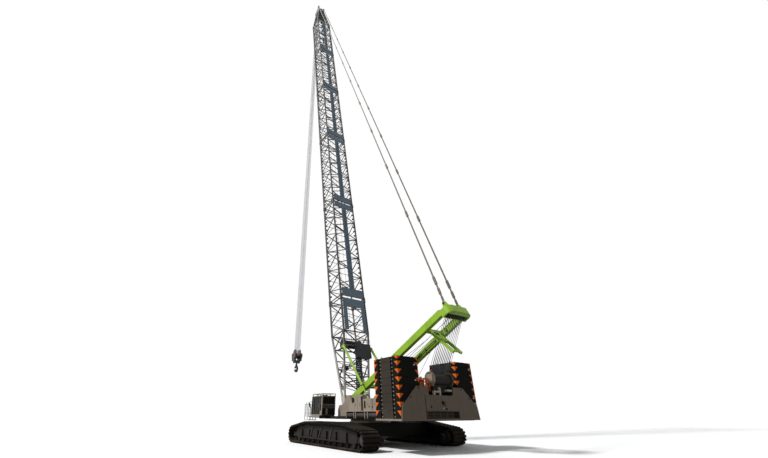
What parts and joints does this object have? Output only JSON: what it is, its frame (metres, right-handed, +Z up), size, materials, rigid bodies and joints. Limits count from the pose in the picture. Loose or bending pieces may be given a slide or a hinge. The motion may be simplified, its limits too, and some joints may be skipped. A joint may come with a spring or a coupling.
{
  "type": "lattice boom crawler crane, half-size model",
  "caption": "Crawler crane with lattice boom, luffing mast, counterweight stacks, operator cab, winches and a hook block; slews, luffs and hoists.",
  "frame": {"origin": "centre of the bottom of the bounding box, on the ground between the tracks", "axes": "+X forward to the boom side, +Y left, +Z up"},
  "size_m": [11.8637, 4.34, 39.5483],
  "materials": {
    "black_steel": "dusty matt black paint",
    "ring_steel": "greased machined steel",
    "taupe_paint": "satin taupe paint",
    "weight_paint": "matt charcoal paint with orange warning marks",
    "dark_steel": "dark oiled steel",
    "cab_glass": "tinted glass",
    "seat_plastic": "black trim",
    "boom_paint": "silver grey paint",
    "walkway_paint": "steel blue grating",
    "lime_paint": "bright lime paint",
    "bar_steel": "light grey paint",
    "hook_paint": "blue grey paint"
  },
  "bodies": {
    "undercarriage": {"tracks": "black_steel", "track_frames": "black_steel", "track_wheels": "black_steel", "travel_drives": "black_steel", "car_body": "black_steel", "slewing_ring": "ring_steel"},
    "upper": {"platform_frame": "taupe_paint", "left_cabinets": "taupe_paint", "engine_house": "taupe_paint", "counterweight_tray": "taupe_paint", "rear_plate": "taupe_paint", "counterweights": "weight_paint", "winch_frames": "taupe_paint", "luffing_winch_frame": "taupe_paint", "right_walkway": "dark_steel", "cab_shell": "taupe_paint", "cab_glass": "cab_glass", "operator_station": "seat_plastic", "cab_arm": "black_steel"},
    "door": {"cab_door": "taupe_paint", "cab_door_glass": "cab_glass"},
    "main_winch": {"main_winch_drum": "dark_steel"},
    "second_winch": {"second_winch_drum": "dark_steel"},
    "luffing_winch": {"luffing_winch_drum": "dark_steel"},
    "boom": {"boom_butt": "boom_paint", "boom_section_1": "boom_paint", "boom_section_2": "boom_paint", "boom_section_3": "boom_paint", "boom_section_4": "boom_paint", "boom_section_5": "boom_paint", "boom_head": "boom_paint", "head_sheaves": "dark_steel", "boom_walkway": "walkway_paint", "boom_winch_frame": "dark_steel", "backstops": "lime_paint"},
    "boom_winch": {"boom_winch_drum": "dark_steel"},
    "mast": {"mast_legs": "lime_paint", "mast_head": "lime_paint", "mast_sheaves": "dark_steel"},
    "pendant_bars": {"pendants": "bar_steel"},
    "hoist_guide": {"line_guide": "boom_paint"},
    "hook_frame": {"hook_block": "hook_paint", "hook_sheaves": "dark_steel"},
    "hook_body": {"hook": "dark_steel"}
  },
  "joints": [
    {"name": "slewing", "type": "hinge", "parent": "undercarriage", "child": "upper", "pos_m": [-1.138, 0, 0.75], "axis": [0, 0, 1], "continuous": true},
    {"name": "boom_luff", "type": "hinge", "parent": "upper", "child": "boom", "pos_m": [-0.273, 0, 1.17], "axis": [0, -1, 0], "range_deg": [-66.84, 2.16]},
    {"name": "mast_luff", "type": "hinge", "parent": "upper", "child": "mast", "pos_m": [-0.85, 0, 1.5], "axis": [0, -1, 0], "range_deg": [-74.7, 2.5]},
    {"name": "pendant_swing", "type": "hinge", "parent": "boom", "child": "pendant_bars", "pos_m": [4.85572, 0, 39.26271], "axis": [0, -1, 0], "range_deg": [-0.1, 0.6]},
    {"name": "hoist_line", "type": "hinge", "parent": "boom", "child": "hoist_guide", "pos_m": [5.6816, 0, 39.20995], "axis": [0, -1, 0], "range_deg": [-2.2, 66.9]},
    {"name": "hoist", "type": "slide", "parent": "hoist_guide", "child": "hook_frame", "axis": [0, 0, -1], "range_m": [-30, 2.9]},
    {"name": "hook_swivel", "type": "hinge", "parent": "hook_frame", "child": "hook_body", "pos_m": [5.6816, 0, 3.6], "axis": [0, 0, 1], "continuous": true},
    {"name": "cab_door", "type": "hinge", "parent": "upper", "child": "door", "pos_m": [0.165, 1.454, 1.225], "axis": [0, 0, 1], "range_deg": [0, 80]},
    {"name": "main_winch_turn", "type": "hinge", "parent": "upper", "child": "main_winch", "pos_m": [-1.698, 0, 1.17], "axis": [0, 1, 0], "continuous": true},
    {"name": "second_winch_turn", "type": "hinge", "parent": "upper", "child": "second_winch", "pos_m": [-2.468, 0, 1.17], "axis": [0, 1, 0], "continuous": true},
    {"name": "luffing_winch_turn", "type": "hinge", "parent": "upper", "child": "luffing_winch", "pos_m": [-4.558, -0.157, 1.93], "axis": [0, 1, 0], "continuous": true},
    {"name": "boom_winch_turn", "type": "hinge", "parent": "boom", "child": "boom_winch", "pos_m": [0.09036, 0, 3.70408], "axis": [0, 1, 0], "continuous": true}
  ],
  "couplings": [
    {"joint": "mast_luff", "follows": "boom_luff", "ratio": 1.1165},
    {"joint": "pendant_swing", "follows": "boom_luff", "ratio": -0.0086},
    {"joint": "hoist_line", "follows": "boom_luff", "ratio": -1}
  ]
}
